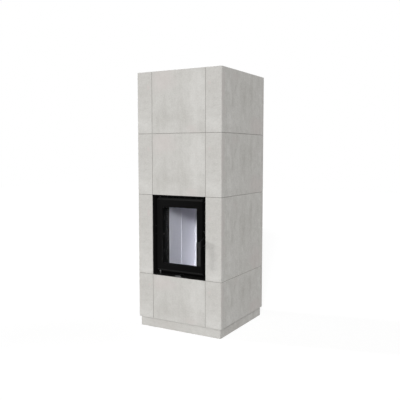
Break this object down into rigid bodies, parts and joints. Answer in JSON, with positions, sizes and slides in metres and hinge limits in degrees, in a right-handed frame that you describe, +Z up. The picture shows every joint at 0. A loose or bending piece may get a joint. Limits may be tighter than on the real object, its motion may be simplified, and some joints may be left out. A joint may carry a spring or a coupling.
{
  "type": "tiled stove",
  "caption": "Free-standing square stove of large stone tiles on a plinth, with a glazed black fire door, a rear smoke outlet and a rear air inlet.",
  "frame": {"origin": "centre of the square footprint, on the floor, under the middle foot", "axes": "+X to the right seen from the front, +Y towards the back, +Z up; the fire door faces -Y"},
  "size_m": [0.71, 0.737, 1.906],
  "materials": {
    "stone_tile": "honed pale grey cast stone with soft mottling",
    "stone_plinth": "honed pale grey cast stone",
    "mortar": "raw grey mortar set back in the joints",
    "storage_concrete": "raw heat-storing concrete",
    "fire_lining": "matte pale grey refractory board",
    "zinc_steel": "dull zinc-plated sheet",
    "stove_steel": "matte black heat-proof paint",
    "black_enamel": "satin black heat-proof paint",
    "handle_black": "satin dark grey heat-proof paint",
    "black_rope": "black glass-fibre rope",
    "blackened_fixings": "blackened steel",
    "bright_steel": "brushed stainless steel",
    "door_glass": "clear ceramic glass"
  },
  "bodies": {
    "stove": {"corner_tile_bottom_left": "stone_tile", "corner_tile_bottom_right": "stone_tile", "corner_tile_door_left": "stone_tile", "corner_tile_door_right": "stone_tile", "corner_tile_middle_left": "stone_tile", "corner_tile_middle_right": "stone_tile", "corner_tile_top_left": "stone_tile", "corner_tile_top_right": "stone_tile", "centre_tile_bottom": "stone_tile", "centre_tile_middle": "stone_tile", "centre_tile_top": "stone_tile", "back_tile_bottom": "stone_tile", "back_tile_door": "stone_tile", "back_tile_middle": "stone_tile", "back_tile_top": "stone_tile", "cover_slab": "stone_tile", "plinth_front": "stone_plinth", "plinth_back": "stone_plinth", "plinth_sides": "stone_plinth", "joint_mortar": "mortar", "cover_angles": "zinc_steel", "base_plate": "zinc_steel", "base_rails": "zinc_steel", "levelling_feet": "zinc_steel", "air_box": "zinc_steel", "air_duct": "zinc_steel", "firebox_stand": "stove_steel", "firebox_bottom": "stove_steel", "firebox_sides": "stove_steel", "firebox_back_wall": "stove_steel", "firebox_top_plate": "stove_steel", "firebox_header": "stove_steel", "front_posts": "stove_steel", "flue_pipe": "stove_steel", "flue_collar": "stove_steel", "lining_floor": "fire_lining", "lining_lip": "fire_lining", "lining_front_boards": "fire_lining", "lining_rear_boards": "fire_lining", "lining_back_board": "fire_lining", "baffle_plate": "fire_lining", "storage_rings": "storage_concrete", "door_frame": "black_enamel", "latch_keeper": "black_enamel", "frame_seal": "black_rope", "frame_screws": "blackened_fixings", "hinge_pins": "blackened_fixings", "hinge_washer": "bright_steel"},
    "door": {"door_leaf": "black_enamel", "door_glass": "door_glass", "glass_gasket": "black_rope", "glass_clips": "blackened_fixings", "clip_screws": "blackened_fixings", "door_rope": "black_rope", "handle_lugs": "black_enamel", "handle_pin": "bright_steel"},
    "handle": {"handle": "handle_black", "latch_tongue": "blackened_fixings"},
    "air_slide": {"air_slide": "zinc_steel", "air_lever": "blackened_fixings"}
  },
  "joints": [
    {"name": "door_hinge", "type": "hinge", "parent": "stove", "child": "door", "pos_m": [-0.181, -0.318, 0.713], "axis": [0, 0, -1], "range_deg": [0, 90]},
    {"name": "handle_turn", "type": "hinge", "parent": "door", "child": "handle", "pos_m": [0.201, -0.325, 0.653], "axis": [0, 0, 1], "range_deg": [0, 18]},
    {"name": "air_slide_move", "type": "slide", "parent": "stove", "child": "air_slide", "axis": [1, 0, 0], "range_m": [-0.03, 0.03]}
  ]
}
